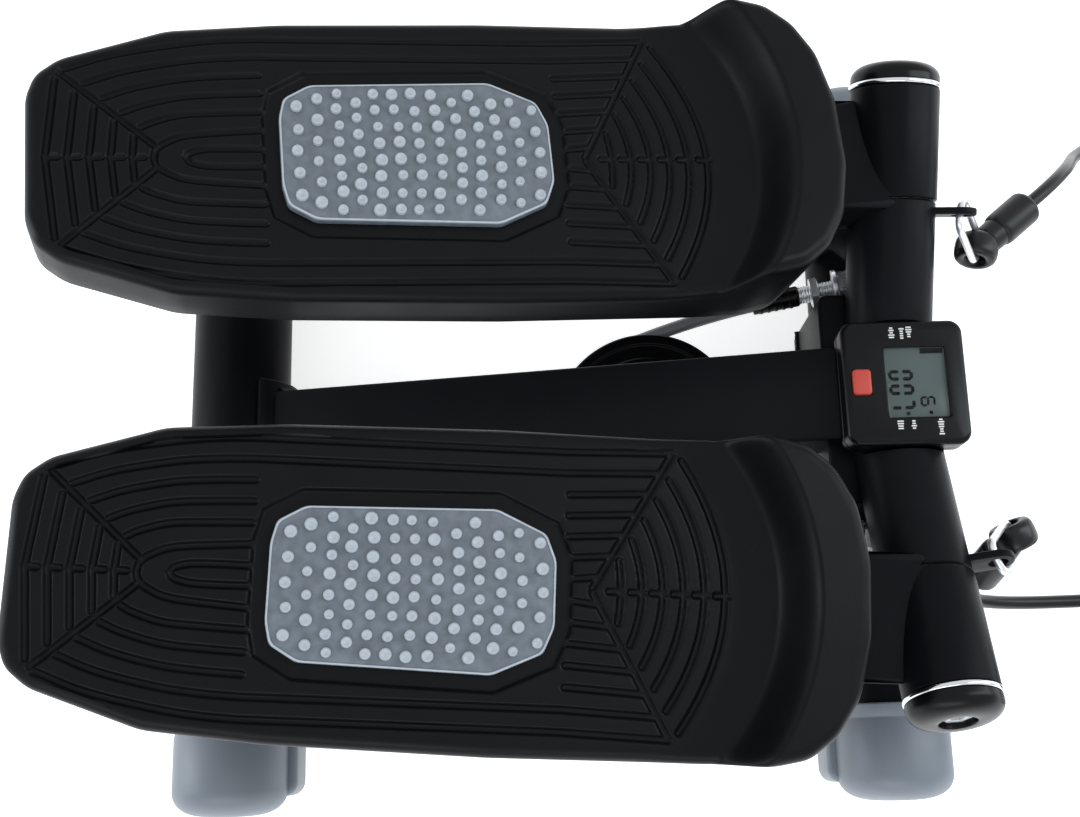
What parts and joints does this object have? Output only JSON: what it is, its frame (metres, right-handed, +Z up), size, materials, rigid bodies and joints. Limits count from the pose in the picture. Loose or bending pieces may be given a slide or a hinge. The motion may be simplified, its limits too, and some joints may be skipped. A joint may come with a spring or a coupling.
{
  "type": "swing stepper",
  "caption": "Floor-standing swing stepper: two ribbed foot pedals on tilted pivots, linked by a cable over a pulley, with dampers, counter and elastic bands.",
  "frame": {"origin": "on the floor, under the middle of the machine without its elastic bands", "axes": "+X towards the user's toes, where the pivots and the counter are; +Y the user's left; +Z up"},
  "size_m": [0.5996, 0.354, 0.1913],
  "materials": {
    "frame_paint": "satin black powder coat",
    "cap_grey": "smooth light grey moulding",
    "zinc": "bright zinc plate",
    "chrome": "polished",
    "black_plastic": "satin to gloss",
    "tread_black": "satin with fine texture",
    "tread_pale": "satin with moulded studs",
    "bush_nylon": "natural nylon",
    "cable_sheath": "grey sheath over wire rope",
    "band_rubber": "satin",
    "grip_foam": "matt foam",
    "button_red": "satin",
    "window_clear": "clear",
    "lcd_grey": "grey-green display",
    "board_green": "solder mask"
  },
  "bodies": {
    "base": {"rear_stabilizer": "frame_paint", "front_stabilizer": "frame_paint", "rear_left_end_cap": "cap_grey", "rear_right_end_cap": "cap_grey", "front_left_end_cap": "cap_grey", "front_right_end_cap": "cap_grey", "centre_beam": "frame_paint", "front_upright": "frame_paint", "hub_tube": "frame_paint", "left_pivot_shaft": "zinc", "right_pivot_shaft": "zinc", "left_shaft_end_bolt": "zinc", "right_shaft_end_bolt": "zinc", "left_damper_lower_pin": "zinc", "right_damper_lower_pin": "zinc", "pulley_bolt": "zinc", "pulley_bush": "bush_nylon", "monitor_back_shell": "black_plastic", "monitor_front_shell": "black_plastic", "monitor_window": "window_clear", "lcd_panel": "lcd_grey", "circuit_board": "board_green", "battery_cell": "zinc", "left_band_link": "zinc", "left_band_eye": "band_rubber", "left_band_cord": "band_rubber", "left_band_coil": "band_rubber", "left_band_handle": "grip_foam", "right_band_link": "zinc", "right_band_eye": "band_rubber", "right_band_cord": "band_rubber", "right_band_coil": "band_rubber", "right_band_handle": "grip_foam"},
    "left_arm": {"left_pedal_arm": "frame_paint", "left_sleeve_bushing": "bush_nylon", "left_sleeve_ring": "chrome", "left_sleeve_cap": "black_plastic", "left_pedal_tray": "tread_black", "left_tread_insert": "tread_pale", "left_fixing_plate": "zinc", "left_cable_pin": "zinc", "left_damper_pin": "zinc"},
    "right_arm": {"right_pedal_arm": "frame_paint", "right_sleeve_bushing": "bush_nylon", "right_sleeve_ring": "chrome", "right_sleeve_cap": "black_plastic", "right_pedal_tray": "tread_black", "right_tread_insert": "tread_pale", "right_fixing_plate": "zinc", "right_cable_pin": "zinc", "right_damper_pin": "zinc"},
    "pulley": {"pulley_wheel": "black_plastic", "cable_wrap": "cable_sheath"},
    "left_cable": {"left_cable": "cable_sheath"},
    "right_cable": {"right_cable": "cable_sheath"},
    "left_barrel": {"left_damper_barrel": "frame_paint"},
    "right_barrel": {"right_damper_barrel": "frame_paint"},
    "left_rod": {"left_damper_rod": "chrome"},
    "right_rod": {"right_damper_rod": "chrome"},
    "button": {"mode_button": "button_red"}
  },
  "joints": [
    {"name": "left_pedal_swing", "type": "hinge", "parent": "base", "child": "left_arm", "pos_m": [0.1532, 0.1277, 0.1145], "axis": [0.0436, 0.9603, 0.2756], "range_deg": [-15.9, 12.1]},
    {"name": "right_pedal_swing", "type": "hinge", "parent": "base", "child": "right_arm", "pos_m": [0.1532, -0.1277, 0.1145], "axis": [-0.0436, 0.9603, -0.2756], "range_deg": [-12.1, 15.9]},
    {"name": "pulley_turn", "type": "hinge", "parent": "base", "child": "pulley", "pos_m": [0.0469, 0, 0.0412], "axis": [-0.1984, 0, 0.9801], "range_deg": [-12.8, 9.8]},
    {"name": "left_cable_slide", "type": "slide", "parent": "base", "child": "left_cable", "axis": [0.9633, 0.1844, 0.195], "range_m": [-0.0067, 0.0087]},
    {"name": "right_cable_slide", "type": "slide", "parent": "base", "child": "right_cable", "axis": [0.9633, -0.1844, 0.195], "range_m": [-0.0087, 0.0067]},
    {"name": "left_damper_tilt", "type": "hinge", "parent": "base", "child": "left_barrel", "pos_m": [0.1209, 0.09552, 0.04], "axis": [0.0436, 0.9603, 0.2756], "range_deg": [-16.4, 12.5]},
    {"name": "right_damper_tilt", "type": "hinge", "parent": "base", "child": "right_barrel", "pos_m": [0.1209, -0.09552, 0.04], "axis": [-0.0436, 0.9603, -0.2756], "range_deg": [-12.5, 16.4]},
    {"name": "left_damper_stroke", "type": "slide", "parent": "left_barrel", "child": "left_rod", "axis": [-0.9136, -0.0734, 0.4], "range_m": [-0.0192, 0.0146]},
    {"name": "right_damper_stroke", "type": "slide", "parent": "right_barrel", "child": "right_rod", "axis": [-0.9389, 0.0549, 0.3398], "range_m": [-0.0146, 0.0192]},
    {"name": "mode_button_press", "type": "slide", "parent": "base", "child": "button", "axis": [0, 0, -1], "range_m": [0, 0.0008], "stiffness_N_per_m": 300}
  ],
  "couplings": [
    {"joint": "right_pedal_swing", "follows": "left_pedal_swing", "ratio": -1},
    {"joint": "pulley_turn", "follows": "left_pedal_swing", "ratio": 0.798},
    {"joint": "left_cable_slide", "follows": "left_pedal_swing", "m_per_rad": -0.0308},
    {"joint": "right_cable_slide", "follows": "left_pedal_swing", "m_per_rad": 0.0308},
    {"joint": "left_damper_tilt", "follows": "left_pedal_swing", "ratio": 1.0228},
    {"joint": "right_damper_tilt", "follows": "left_pedal_swing", "ratio": -1.0228},
    {"joint": "left_damper_stroke", "follows": "left_pedal_swing", "m_per_rad": 0.0686},
    {"joint": "right_damper_stroke", "follows": "left_pedal_swing", "m_per_rad": -0.0686}
  ]
}
